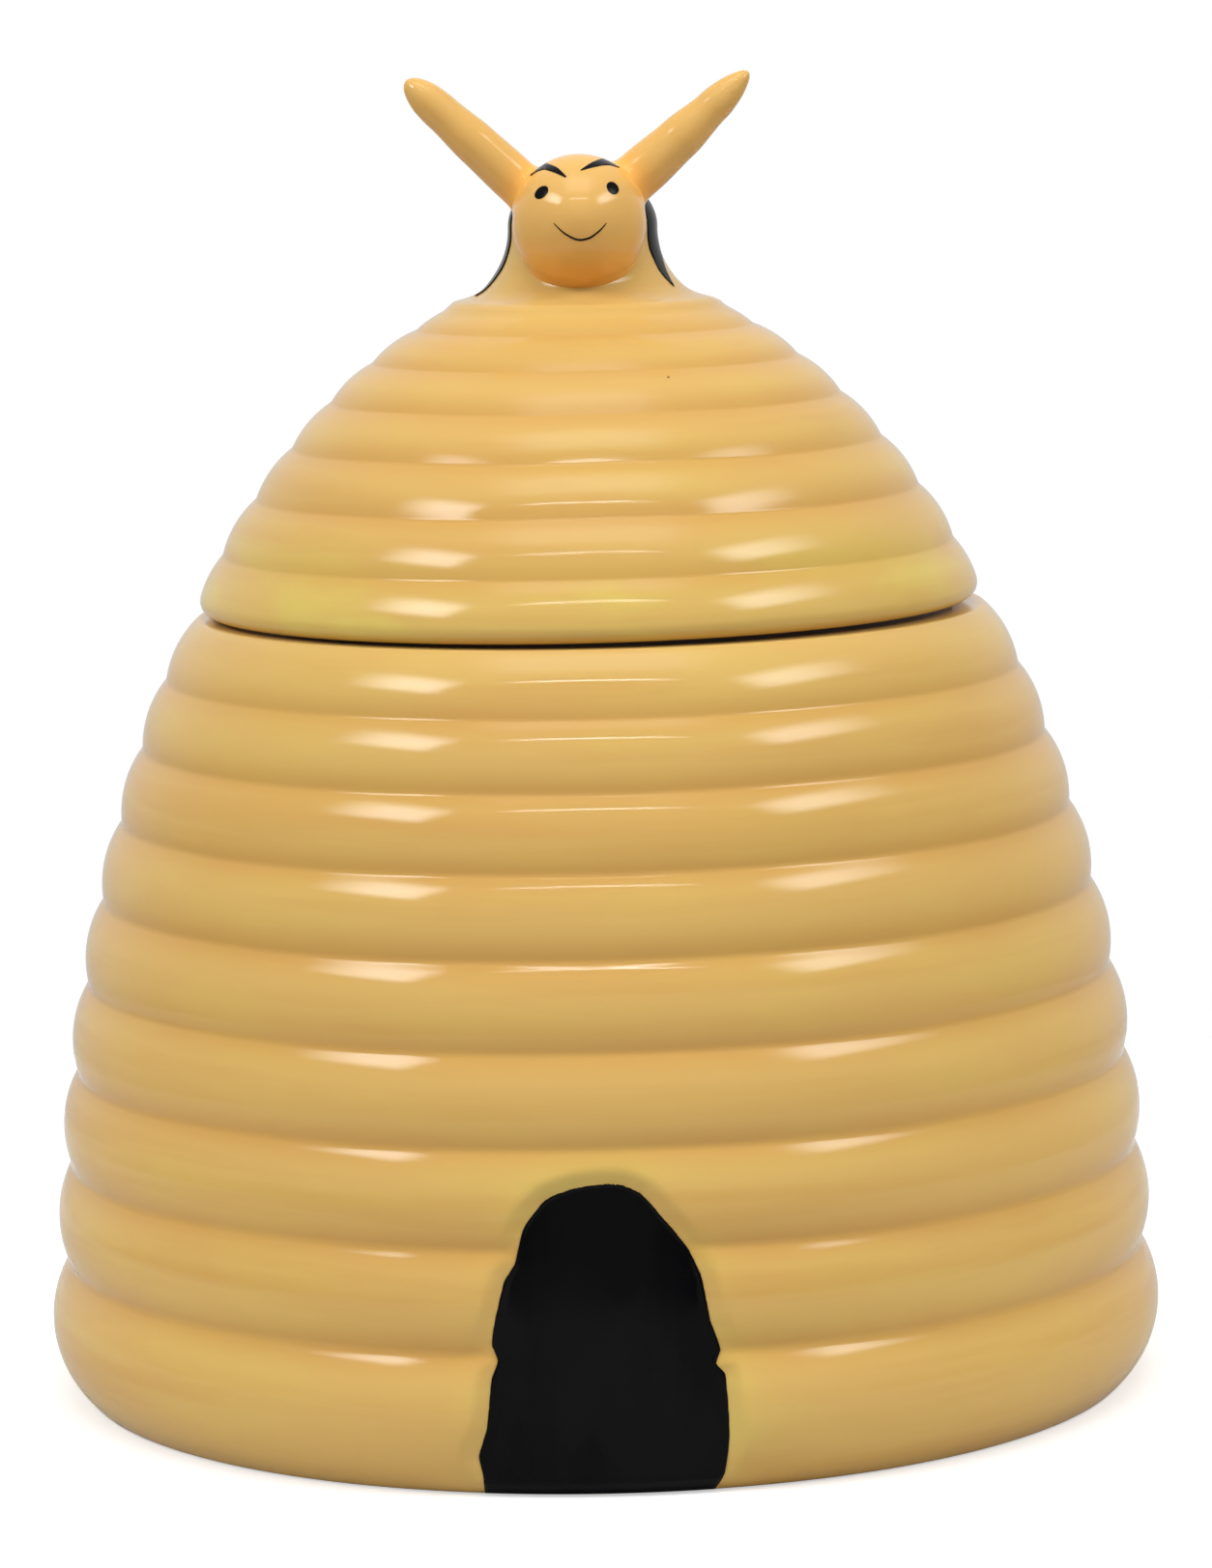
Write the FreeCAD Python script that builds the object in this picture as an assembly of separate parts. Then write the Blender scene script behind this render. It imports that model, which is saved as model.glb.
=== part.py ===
import FreeCAD, Part
import math
import os

os.makedirs("parts", exist_ok=True)

# Hive outline in millimetres: an ellipse through the grooves between the ribs; the dome rises above the rim
hive_radius = 91.0
dome_rise = 55.8
widest_height = 14.8

# Ribs: round sections of one radius that meet in small rounded grooves
rib_radius = 17.0
groove_radius = 1.6
first_groove_height = 22.8
pot_rib_count = 8
pot_rib_ratio = 0.69
lid_rib_count = 7
lid_rib_ratio = 0.79

# Pot
pot_wall = 5.5
floor_thickness = 6.0
floor_round = 6.0
foot_inset = 3.0
foot_round = 1.5
foot_ring_width = 9.0
foot_recess = 2.0
foot_recess_slope = 2.0
rim_height = 130.8
rim_inset = 1.5
rim_round = 1.2
rim_width = 7.2
mouth_depth = 10.0

# Arched door at the front
door_foot_width = 37.6
door_arch_width = 35.6
door_arch_height = 20.0
door_height = 49.6
door_depth = 0.5

# Fired-on black enamel of the door, the stripes and the face
enamel_thickness = 0.4

# Lid
lid_wall = 5.0
lid_edge_inset = 1.8
lid_edge_round = 2.8
seat_radius = 20.5
flange_thickness = 3.0
spigot_wall = 5.0
spigot_depth = 11.0
spigot_lip_width = 1.2
spigot_lip_height = 1.6

# Seal ring between the lid and the rim
seal_space = 4.2
seal_thickness = 0.9
seal_skirt = 1.8
seal_edge_inset = 5.0
seal_clearance = 0.3
fin_count = 3
fin_root = 1.6
fin_tip = 0.4

# Bee's body: a mound that is round at the front and drawn out to the tail, with rises above the lid's seat
bee_turn = 7.0
neck_radius = 12.4
neck_rise = 12.6
body_rise = 22.1
flare_radius = 13.5
flare_reach = 9.6
flare_root = 12.0
tail_stretch = 1.6
tail_sink = 1.9
stripe_start = -5.7
stripe_width = 8.5
stripe_pitch = 12.2
stripe_count = 3
stripe_lean = 4.0

# Bee's head, with face and antennae placed from its centre
head_radius = 11.0
head_left = 0.5
head_forward = 12.0
head_rise = 14.5
eye_radius = 1.0
eye_out = 5.8
eye_up = 5.0
brow_inner = (1.2, 7.6)
brow_middle = (4.6, 9.2)
brow_outer = (6.9, 7.9)
brow_thickness = 1.1
smile_end = (4.3, 0.0)
smile_drop = 2.5
smile_thickness = 0.3
antenna_root_out = 5.8
antenna_root_up = 2.7
antenna_root_back = 3.0
antenna_root_radius = 4.0
antenna_tip_radius = 2.0
antenna_length = 28.0
antenna_angle = 42.6

# Bee's folded wings
wing_out = 6.2
wing_back = 10.0
wing_rise = 15.6
wing_length = 21.0
wing_width = 11.0
wing_thickness = 5.0
wing_spread = 14.0
wing_bank = 38.0
wing_pitch = 26.0

x_axis = FreeCAD.Vector(1, 0, 0)
y_axis = FreeCAD.Vector(0, 1, 0)
z_axis = FreeCAD.Vector(0, 0, 1)
origin = FreeCAD.Vector(0, 0, 0)


def line(start, end):
    return Part.makeLine(FreeCAD.Vector(start[0], 0, start[1]), FreeCAD.Vector(end[0], 0, end[1]))


def arc(start, middle, end):
    points = [FreeCAD.Vector(r, 0, z) for r, z in (start, middle, end)]
    return Part.Arc(*points).toShape()


def ellipse_arc(center, half_width, rise, start, end):
    """Stretch of an ellipse about a level centre line, between two angles in degrees."""
    angles = [math.radians(angle) for angle in (start, (start + end) / 2, end)]
    unit = arc(*[(math.cos(angle), math.sin(angle)) for angle in angles])
    stretch = FreeCAD.Matrix()
    stretch.scale(half_width, 1, rise)
    stretch.move(FreeCAD.Vector(center[0], 0, center[1]))
    return unit.transformGeometry(stretch)


def path(points):
    return [line(start, end) for start, end in zip(points, points[1:])]


def revolve(edges, turn=360):
    face = Part.Face(Part.Wire(Part.__sortEdges__(edges)))
    return face.revolve(origin, z_axis, turn)


def between(start, end, share):
    return tuple(s + (e - s) * share for s, e in zip(start, end))


def along(start, end, length):
    return between(start, end, length / math.dist(start, end))


def round_arc(center, radius, start, end):
    """Arc about a centre, the shorter way round, between two points on it."""
    return arc(start, along(center, between(start, end, 0.5), radius), end)


def apex_point(first, second, reach):
    """Point at one reach from two points, to the right of the way from the first to the second."""
    middle = between(first, second, 0.5)
    half = math.dist(first, second) / 2
    height = math.sqrt(reach ** 2 - half ** 2) / (2 * half)
    return (middle[0] + (second[1] - first[1]) * height, middle[1] - (second[0] - first[0]) * height)


def hive_point(angle):
    return (hive_radius * math.cos(angle), widest_height + hive_rise * math.sin(angle))


def hive_angle(height):
    return math.asin((height - widest_height) / hive_rise)


def spread_grooves(start, end, count, ratio):
    """Points that split the hive outline into ribs whose pitch falls evenly to a ratio of the first."""
    steps = 2000
    points = [hive_point(start + (end - start) * step / steps) for step in range(steps + 1)]
    lengths = [0.0]
    for first, second in zip(points, points[1:]):
        lengths.append(lengths[-1] + math.dist(first, second))
    shares = [1 + (ratio - 1) * rib / (count - 1) for rib in range(count)]
    targets = [lengths[-1] * sum(shares[:rib]) / sum(shares) for rib in range(1, count)]
    grooves = [min(zip(lengths, points), key=lambda pair: abs(pair[0] - target))[1] for target in targets]
    return [points[0]] + grooves + [points[-1]]


def rib_centers(grooves):
    return [apex_point(upper, lower, rib_radius) for lower, upper in zip(grooves, grooves[1:])]


def is_outside(lower, upper, point):
    """Whether a point lies to the right of the way from one rib's centre up to the next."""
    return (upper[0] - lower[0]) * (point[1] - lower[1]) < (upper[1] - lower[1]) * (point[0] - lower[0])


def groove_rounds(centers, grooves):
    """Small round where each pair of ribs meets: its centre, and 1 in a hollow or -1 over a ridge."""
    rounds = []
    for lower, upper, meeting in zip(centers, centers[1:], grooves[1:]):
        if is_outside(lower, upper, meeting):
            rounds.append((apex_point(lower, upper, rib_radius + groove_radius), 1))
        else:
            rounds.append((apex_point(upper, lower, rib_radius - groove_radius), -1))
    return rounds


def ribbed_edges(centers, rounds, start, end, inset):
    """Outline along the ribs at an inset from their outer face, between two given ends."""
    edges = []
    here = start
    for lower, upper, (middle, side) in zip(centers, centers[1:], rounds):
        below = along(lower, middle, rib_radius - inset)
        above = along(upper, middle, rib_radius - inset)
        edges.append(round_arc(lower, rib_radius - inset, here, below))
        edges.append(round_arc(middle, groove_radius + side * inset, below, above))
        here = above
    return edges + [round_arc(centers[-1], rib_radius - inset, here, end)]


def plane_round(center, radius, height, size, side):
    """Small round between a rib and a level plane: the plane's end, the rib's end and the edge."""
    level = height + side * size
    middle = (center[0] + math.sqrt((radius - size) ** 2 - (level - center[1]) ** 2), level)
    flat = (middle[0], height)
    rib = along(center, middle, radius)
    return flat, rib, round_arc(middle, size, flat, rib)


hive_rise = rim_height + dome_rise - widest_height
rim_radius = hive_point(hive_angle(rim_height))[0] - rim_inset
mouth_radius = rim_radius - rim_width
floor_height = foot_recess + floor_thickness
pot_grooves = spread_grooves(hive_angle(first_groove_height), hive_angle(rim_height), pot_rib_count, pot_rib_ratio)
pot_grooves = [(hive_radius - foot_inset, 0.0)] + pot_grooves[:-1] + [(rim_radius, rim_height)]
pot_centers = rib_centers(pot_grooves)
pot_rounds = groove_rounds(pot_centers, pot_grooves)

lid_height = rim_height + seal_thickness
spigot_radius = mouth_radius - seal_space
spigot_bottom = lid_height - spigot_depth
lid_grooves = spread_grooves(hive_angle(lid_height), math.acos(seat_radius / hive_radius),
                             lid_rib_count, lid_rib_ratio)
lid_grooves[0] = (lid_grooves[0][0] - lid_edge_inset, lid_height)
lid_centers = rib_centers(lid_grooves)
lid_rounds = groove_rounds(lid_centers, lid_grooves)
seat = lid_grooves[-1]
head_center = FreeCAD.Vector(-head_left, -head_forward, seat[1] + head_rise)


def make_pot_casting():
    foot_flat, foot_side, foot_edge = plane_round(pot_centers[0], rib_radius, 0.0, foot_round, 1)
    rim_flat, rim_side, rim_edge = plane_round(pot_centers[-1], rib_radius, rim_height, rim_round, -1)
    floor_flat, floor_side, floor_edge = plane_round(pot_centers[0], rib_radius - pot_wall, floor_height,
                                                     floor_round, 1)
    shoulder = along(pot_centers[-2], between(pot_grooves[-3], pot_grooves[-2], 0.5), rib_radius - pot_wall)
    ring = foot_flat[0] - foot_ring_width
    edges = [foot_edge, rim_edge, floor_edge]
    edges += ribbed_edges(pot_centers, pot_rounds, foot_side, rim_side, 0.0)
    edges += ribbed_edges(pot_centers[:-1], pot_rounds[:-1], floor_side, shoulder, pot_wall)
    edges += path([rim_flat, (mouth_radius, rim_height), (mouth_radius, rim_height - mouth_depth), shoulder])
    edges += path([floor_flat, (0.0, floor_height), (0.0, foot_recess), (ring - foot_recess_slope, foot_recess),
                   (ring, 0.0), foot_flat])
    return revolve(edges)


def make_door_core(depth):
    """Smooth hive body that the door's face follows, at a depth below the grooves."""
    outline = [hive_point(hive_angle(height)) for height in (0.0, door_height, 2 * door_height)]
    foot, middle, top = [(radius - depth, height) for radius, height in outline]
    return revolve([arc(foot, middle, top)] + path([top, (0.0, top[1]), (0.0, foot[1]), foot]))


def make_door_arch():
    half_foot = door_foot_width / 2
    half_arch = door_arch_width / 2
    edges = path([(-half_arch, door_arch_height), (-half_foot, 0.0), (half_foot, 0.0), (half_arch, door_arch_height)])
    edges.append(ellipse_arc((0.0, door_arch_height), half_arch, door_height - door_arch_height, 0, 180))
    return Part.Face(Part.Wire(edges)).extrude(y_axis * -2 * hive_radius)


def make_pot_and_door():
    casting = make_pot_casting()
    recess = make_door_arch().cut(make_door_core(door_depth + enamel_thickness))
    enamel = recess.common(make_door_core(door_depth)).common(casting)
    return casting.cut(recess), enamel


def lid_outer_edges():
    flat, side, edge = plane_round(lid_centers[0], rib_radius, lid_height, lid_edge_round, 1)
    return flat, [edge] + ribbed_edges(lid_centers, lid_rounds, side, seat, 0.0)


def make_dome():
    """The lid's outside without its hollow, to cut the bee's foot to."""
    flat, edges = lid_outer_edges()
    return revolve(edges + path([seat, (0.0, seat[1]), (0.0, lid_height), flat]))


def make_lid():
    flat, edges = lid_outer_edges()
    hollow_top = along(lid_centers[-1], seat, rib_radius - lid_wall)
    hollow_foot = along(lid_centers[1], between(lid_grooves[1], lid_grooves[2], 0.5), rib_radius - lid_wall)
    bore = spigot_radius - spigot_wall
    lip = spigot_radius + spigot_lip_width
    lip_top = spigot_bottom + spigot_lip_height
    edges += ribbed_edges(lid_centers[1:], lid_rounds[1:], hollow_foot, hollow_top, lid_wall)
    edges += path([seat, (0.0, seat[1]), (0.0, hollow_top[1]), hollow_top])
    edges += path([hollow_foot, (bore, lid_height + flange_thickness), (bore, spigot_bottom), (lip, spigot_bottom),
                   (lip, lip_top), (spigot_radius, lip_top), (spigot_radius, lid_height), flat])
    return revolve(edges)


def make_seal():
    inner = spigot_radius + seal_clearance
    skirt = inner + seal_skirt
    tip = mouth_radius - seal_clearance
    edge = rim_radius - seal_edge_inset
    bottom = spigot_bottom + spigot_lip_height + seal_clearance
    pitch = (rim_height - bottom) / fin_count
    points = [(inner, lid_height), (edge, lid_height), (edge, rim_height), (skirt, rim_height)]
    for fin in range(fin_count):
        level = rim_height - pitch * (fin + 0.5)
        points += [(skirt, level + fin_root / 2), (tip, level + fin_tip / 2),
                   (tip, level - fin_tip / 2), (skirt, level - fin_root / 2)]
    return revolve(path(points + [(skirt, bottom), (inner, bottom), points[0]]))


def mound_foot(inset):
    """Outer end of the flare at the bee's foot, in the round front half."""
    drop = flare_radius * math.sin(math.acos(1 - flare_reach / flare_radius))
    return (neck_radius - inset + flare_reach, seat[1] + neck_rise - drop)


def tail_slope():
    """Fall of the back half that takes its foot to a depth under the hive outline."""
    radius, height = mound_foot(0.0)
    tail = radius * tail_stretch
    return (height - hive_point(math.acos(tail / hive_radius))[1] + tail_sink) / tail


def make_mound_half(inset, turn):
    """Half turn of the bee's body: flared foot, upright neck and rounded top."""
    neck = (neck_radius - inset, seat[1] + neck_rise)
    foot = mound_foot(inset)
    flare_center = (neck[0] + flare_radius, neck[1])
    top = (0.0, seat[1] + body_rise - inset)
    root = seat[1] - flare_root
    edges = [ellipse_arc((0.0, neck[1]), neck[0], top[1] - neck[1], 0, 90)]
    edges.append(round_arc(flare_center, flare_radius, neck, foot))
    edges += path([foot, (foot[0], root), (0.0, root), top])
    return revolve(edges, turn)


def make_mound(inset):
    """Round front half and a back half drawn out to the tail and sloped with the dome."""
    stretch = FreeCAD.Matrix()
    stretch.A22 = tail_stretch
    stretch.A32 = -tail_slope() * tail_stretch
    mound = make_mound_half(inset, -180).fuse(make_mound_half(inset, 180).transformGeometry(stretch))
    mound.rotate(origin, z_axis, -bee_turn)
    return mound


def make_stripes(mound):
    """Skin of the bee's body in slabs that lean, so that each stripe runs forward towards its ends."""
    skin = mound.cut(make_mound(enamel_thickness))
    size = 2 * hive_radius
    stripes = []
    for stripe in range(stripe_count):
        start = FreeCAD.Vector(-size / 2, stripe * stripe_pitch, -size / 2)
        slab = Part.makeBox(size, stripe_width, size, start)
        slab.rotate(origin, x_axis, -stripe_lean)
        slab.translate(FreeCAD.Vector(0, stripe_start, seat[1] + body_rise))
        slab.rotate(origin, z_axis, -bee_turn)
        stripes.append(skin.common(slab))
    return Part.makeCompound(stripes)


def make_head_ball(inset):
    return Part.makeSphere(head_radius - inset, head_center)


def make_crescent(start, middle, end, thickness):
    """Painted stroke that is thickest at its middle, as a prism towards the front."""
    above = (middle[0], middle[1] + thickness / 2)
    below = (middle[0], middle[1] - thickness / 2)
    stroke = Part.Face(Part.Wire([arc(start, above, end), arc(end, below, start)]))
    return stroke.extrude(y_axis * -2 * head_radius)


def make_face():
    smile_start = (-smile_end[0], smile_end[1])
    smile_middle = (0.0, smile_end[1] - smile_drop)
    marks = [make_crescent(smile_start, smile_middle, smile_end, smile_thickness)]
    for side in (-1, 1):
        brow = [(side * out, up) for out, up in (brow_inner, brow_middle, brow_outer)]
        marks.append(make_crescent(*brow, brow_thickness))
        eye = FreeCAD.Vector(side * eye_out, 0, eye_up)
        marks.append(Part.makeCylinder(eye_radius, 2 * head_radius, eye, -y_axis))
    prisms = Part.makeCompound(marks)
    prisms.translate(head_center)
    return make_head_ball(0.0).cut(make_head_ball(enamel_thickness)).common(prisms)


def make_antenna(side):
    """Tapered horn with a round tip that touches its cone."""
    lean = math.asin((antenna_root_radius - antenna_tip_radius) / antenna_length)
    tip_side = (antenna_tip_radius * math.cos(lean), antenna_length + antenna_tip_radius * math.sin(lean))
    tip = (0.0, antenna_length + antenna_tip_radius)
    edges = path([tip, (0.0, 0.0), (antenna_root_radius, 0.0), tip_side])
    edges.append(round_arc((0.0, antenna_length), antenna_tip_radius, tip_side, tip))
    horn = revolve(edges)
    horn.rotate(origin, y_axis, side * (90 - antenna_angle))
    horn.translate(head_center + FreeCAD.Vector(side * antenna_root_out, antenna_root_back, antenna_root_up))
    return horn


def make_wing(side):
    matrix = FreeCAD.Matrix()
    matrix.scale(wing_width / 2, wing_length / 2, wing_thickness / 2)
    wing = Part.makeSphere(1.0).transformGeometry(matrix)
    wing.rotate(origin, y_axis, side * wing_bank)
    wing.rotate(origin, x_axis, -wing_pitch)
    wing.rotate(origin, z_axis, -side * wing_spread)
    wing.translate(FreeCAD.Vector(side * wing_out, wing_back, seat[1] + wing_rise))
    wing.rotate(origin, z_axis, -bee_turn)
    return wing


def make_parts():
    parts = {"hive_lid": make_lid(), "lid_seal": make_seal()}
    parts["hive_pot"], parts["door_enamel"] = make_pot_and_door()
    dome = make_dome()
    head = make_head_ball(0.0)
    mound = make_mound(0.0).cut(dome).cut(head)
    stripes = make_stripes(mound)
    face = make_face()
    parts["bee_body"] = mound.cut(stripes)
    parts["bee_stripe_enamel"] = stripes
    parts["bee_head"] = head.cut(face)
    parts["bee_face_enamel"] = face
    for side, name in ((-1, "left"), (1, "right")):
        parts["bee_antenna_" + name] = make_antenna(side).cut(head).cut(mound)
        parts["bee_wing_" + name] = make_wing(side).cut(mound).cut(dome)
    return parts


for name, shape in make_parts().items():
    solids = shape.Solids
    print(name, len(solids), round(shape.Volume, 1), shape.isValid())
    solid = solids[0] if len(solids) == 1 else Part.makeCompound(solids)
    solid.exportStep("parts/" + name + ".step")
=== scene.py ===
import bmesh
import bpy
import math
import numpy as np
from collections import namedtuple
from mathutils import Matrix, Vector


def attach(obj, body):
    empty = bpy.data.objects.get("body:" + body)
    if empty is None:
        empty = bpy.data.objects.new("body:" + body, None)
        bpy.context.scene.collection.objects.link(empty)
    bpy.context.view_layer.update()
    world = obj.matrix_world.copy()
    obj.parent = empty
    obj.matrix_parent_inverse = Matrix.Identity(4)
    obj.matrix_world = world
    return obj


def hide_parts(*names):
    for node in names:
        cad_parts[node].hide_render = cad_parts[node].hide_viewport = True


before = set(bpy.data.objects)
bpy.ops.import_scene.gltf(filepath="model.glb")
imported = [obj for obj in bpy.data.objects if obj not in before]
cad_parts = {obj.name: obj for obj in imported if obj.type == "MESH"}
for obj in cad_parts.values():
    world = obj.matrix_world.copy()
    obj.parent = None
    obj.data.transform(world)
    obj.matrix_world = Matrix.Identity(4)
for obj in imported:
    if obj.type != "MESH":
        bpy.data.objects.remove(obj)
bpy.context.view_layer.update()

# Lengths of the jar are in millimetres, in the frame of the solids, and become metres as a mesh is made
MM = 0.001
SMALL = 1e-9

# Hive outline: an ellipse that runs through the grooves between the ribs
HIVE_RADIUS = 91.0
HIVE_RISE = 171.8
WIDEST_HEIGHT = 14.8
RIB_RADIUS = 17.0
GROOVE_RADIUS = 1.6

# Pot
FIRST_GROOVE_HEIGHT = 22.8
POT_RIB_COUNT = 8
POT_RIB_RATIO = 0.69
POT_WALL = 5.5
FLOOR_HEIGHT = 8.0
FLOOR_ROUND = 6.0
FOOT_INSET = 3.0
FOOT_ROUND = 1.5
FOOT_RING_WIDTH = 9.0
FOOT_RECESS = 2.0
RIM_HEIGHT = 130.8
RIM_INSET = 1.1
RIM_ROUND = 1.2
RIM_WIDTH = 7.6
MOUTH_DEPTH = 10.0
MOUTH_ROUND = 1.5
CORNER_ROUND = 0.8
AXIS_GAP = 1.2

# Materials of the runs of the pot's section and of the caps: 0 outer glaze, 1 inside glaze, 2 bare clay
OUTSIDE_RUN = 2
POT_RUN_SLOTS = [1, 2, 0, 0, 1]
POT_CAP_SLOTS = [1, 1]
LID_CAP_SLOTS = [0, 1]

# Lid
LID_HEIGHT = 131.7
LID_RIB_COUNT = 7
LID_RIB_RATIO = 0.79
LID_WALL = 5.0
LID_EDGE_INSET = 0.8
LID_EDGE_ROUND = 2.4
SEAT_RADIUS = 20.5
FLANGE_THICKNESS = 3.0
SPIGOT_SPACE = 4.2
SPIGOT_WALL = 5.0
SPIGOT_DEPTH = 11.0
SPIGOT_LIP_WIDTH = 1.2
SPIGOT_LIP_HEIGHT = 1.6
LID_CENTER = np.array([0.0, 0.0, 153.0])

# The lid sits a little low and to the left, with its right side higher, and this fades out towards the bee
LID_SHIFT = -0.3
LID_DROP = -0.25
LID_TILT = 0.0042
LID_TILT_TOP = 178.0

# Uneven hand work: slow waves with turns and lengths drawn from ranges, and grooves that wander
WAVE_COUNT = 7
WAVE_TURNS = (1, 9)
WAVE_LENGTHS = (30, 90)
WALL_WAVE = 0.16
GROOVE_WANDER = 0.3
WANDER_STRETCH = 2
POT_SEED = 3
LID_SEED = 8
BEE_SEED = 5

# Black door: key points (across, height) of its left and right edge, from the foot to the top
DOOR_DEPTH = 0.5
DOOR_LEFT = [(-19.5, 0.3), (-19.7, 3.6), (-20.2, 6.3), (-19.0, 10.9), (-17.8, 19.6), (-17.0, 22.1),
             (-17.6, 24.0), (-16.7, 30.4), (-15.4, 35.0), (-14.2, 36.9), (-12.4, 42.8), (-8.6, 47.4),
             (-4.0, 49.1), (0.8, 49.6)]
DOOR_RIGHT = [(16.6, 0.3), (17.9, 2.8), (18.9, 8.5), (18.7, 16.5), (18.4, 19.3), (17.2, 20.8), (17.7, 22.6),
              (16.4, 27.5), (14.8, 35.4), (13.4, 38.5), (9.0, 44.4), (5.6, 48.2), (3.0, 49.4), (0.8, 49.6)]
DOOR_ROLL_OUT = 3.4
DOOR_ROLL_IN = 0.7
DOOR_HALF_ANGLE = math.radians(17)
DOOR_LIFT = 0.18
DOOR_SINK = 0.3

# Bee's body, with rises above the lid's seat
BEE_TURN = math.radians(7)
NECK_RADIUS = 12.4
NECK_RISE = 12.6
BODY_RISE = 22.1
FLARE_RADIUS = 13.5
FLARE_REACH = 9.6
TAIL_STRETCH = 1.6
TAIL_SLOPE = 0.3
TAIL_BEND = 4.0
BODY_BLEND = 3.3

# Bee's stripes: where each starts at the height of the top, its width, and its two ends in degrees
STRIPES = [(-4.4, 8.4, (-79, 74)), (6.6, 5.6, (-76, 76)), (16.0, 4.2, (-66, 66))]
STRIPE_LEAN = math.radians(4)
STRIPE_ORIGIN_RISE = -2.0
STRIPE_TAPER = 2.2
STRIPE_WAVE = 0.4
STRIPE_WAVE_TURNS = 3
STRIPE_EDGE_PLACES = (0.0, 45.0)

# Bee's head: a ball with a fuller chin, over a range of the up direction, and a faint nose
HEAD_CENTER = np.array([-0.5, -12.0, 196.1])
HEAD_RADIUS = 11.0
HEAD_CHIN = 0.25
CHIN_RANGE = (0.2, -0.8)
# Range of the up direction over which the lower head is painted deeper orange, as painted shade
CHIN_PAINTED_SHADE_RANGE = (0.0, -0.75)
NOSE_WAY = np.array(Vector((0.02, -0.98, 0.14)).normalized())
NOSE_RISE = 0.4
NOSE_SPREAD = 0.32
NECK_FILLET = 2.6
ROOT_FILLET = 1.8

# Face, as (right, up) from the head's centre: an eye has a centre and two half axes; the key points of the
# left brow, the right brow and the smile each have a width too
EYES = [((-6.04, 5.06), (0.7, 1.02), (0.88, -0.2)), ((5.59, 5.52), (-0.5, 0.98), (0.85, 0.22))]
STROKES = [
    [(-7.8, 7.6, 0.1), (-6.9, 8.5, 0.6), (-5.5, 9.1, 1.0), (-3.6, 8.55, 0.9), (-1.98, 7.45, 0.25)],
    [(0.43, 8.5, 0.15), (2.2, 9.2, 0.75), (3.9, 9.6, 1.0), (5.4, 9.4, 0.7), (6.8, 8.6, 0.1)],
    [(-4.13, 0.13, 0.1), (-2.57, -1.38, 0.24), (-1.0, -2.31, 0.3), (0.19, -2.61, 0.32), (1.78, -2.25, 0.3),
     (3.39, -1.1, 0.24), (4.41, -0.03, 0.1)],
]
FACE_LIMIT = 0.995
PAINT_LIFT = 0.07
PAINT_SINK = 0.25

# Antennae: where each leaves the head, its end, its radii from root to end, length of its round tip, and bow
ANTENNA_BACK = -9.0
ANTENNA_ROOT = 7.0
ANTENNA_WAVE = 0.006
ANTENNA_WAVE_STRETCH = 2
Antenna = namedtuple("Antenna", "base end radii tip bow")
ANTENNAE = {
    "left": Antenna((-10.0, 201.9), (-28.6, 219.6), (3.8, 3.85, 3.65, 3.15, 2.5), 5.0, 0.2),
    "right": Antenna((9.2, 203.5), (27.9, 219.9), (4.2, 4.1, 3.7, 2.9, 1.7), 4.0, -0.5),
}

# Folded wings
WING_LENGTH = 21.0
WING_WIDTH = 11.0
WING_THICKNESS = 5.0
WING_PLACE = (6.2, 10.0, 15.6)
WING_SPREAD = math.radians(14)
WING_BANK = math.radians(38)
WING_PITCH = math.radians(26)
WING_NARROW = 0.75
WING_WIDEST = 0.6
WING_FOLD = 0.5
WING_FOLD_WIDTH = 0.25

# Steps and spacing of the meshes
OUTLINE_STEPS = 2000
GROOVE_STEPS = 6
LEAST_RIB_STEPS = 6
FINE_SPACING = 0.5
PLAIN_SPACING = 0.9
PLAIN_COLUMNS = 210
DOOR_COLUMN_STEP = math.radians(0.34)
DOOR_ROWS = 120
DOOR_COLUMNS = 60
SURFACE_ROUNDS = 4
LID_COLUMNS = 288
CROWN_START = math.radians(89.5)
CROWN_STEPS = 70
BISECTIONS = 26
STRIPE_ROWS = 14
STRIPE_COLUMNS = 120
ANTENNA_ROWS = 90
ANTENNA_COLUMNS = 64
ANTENNA_CROWDING = 1.2
ANTENNA_END = 0.0004
HEAD_DIVISIONS = 48
HEAD_MERGE = 0.008
STROKE_STEPS = 60
STROKE_ROWS = 7
EYE_STEPS = 15
WING_ROWS = 40
WING_COLUMNS = 48
FLOOR_SIDES = 96

# Reach of the deeper glaze at grooves and creases, which is glaze pooling and painted shade, and the share
# and reach of the glaze's green tint
POOL_AND_SHADE_REACH = 3.2
GREEN_LEAST = 0.35
GREEN_SHARE = 0.25
GREEN_DOOR = 0.6
GREEN_LID_EDGE = 0.9
GREEN_REACH = 5.0

# Colours, as levels from 0 to 255: the two that a material is mixed from, and single ones
# The second colour of a glaze is its deeper colour, for streaks and for pools that are partly painted shade
HIVE_COLORS = ((217, 175, 102), (198, 140, 64))
BEE_COLORS = ((226, 179, 102), (255, 184, 84))
INSIDE_COLORS = ((240, 232, 212), (228, 216, 188))
CLAY_COLORS = ((226, 214, 194), (200, 184, 160))
ENAMEL_COLORS = ((13, 13, 14), (5, 5, 7))
# Seal silicone, coloured dark as painted shade in the seam between lid and pot
SEAM_SHADE_SILICONE_COLORS = ((52, 46, 42), (66, 60, 54))
FLOOR_COLORS = ((214, 214, 214), (210, 210, 210))
GLAZE_GREEN = (222, 200, 104)
GLAZE_SPECK = (112, 76, 36)
INSIDE_SPECK = (150, 120, 80)
CLAY_WORN = (168, 156, 140)
WHITE = (255, 255, 255)

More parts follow.
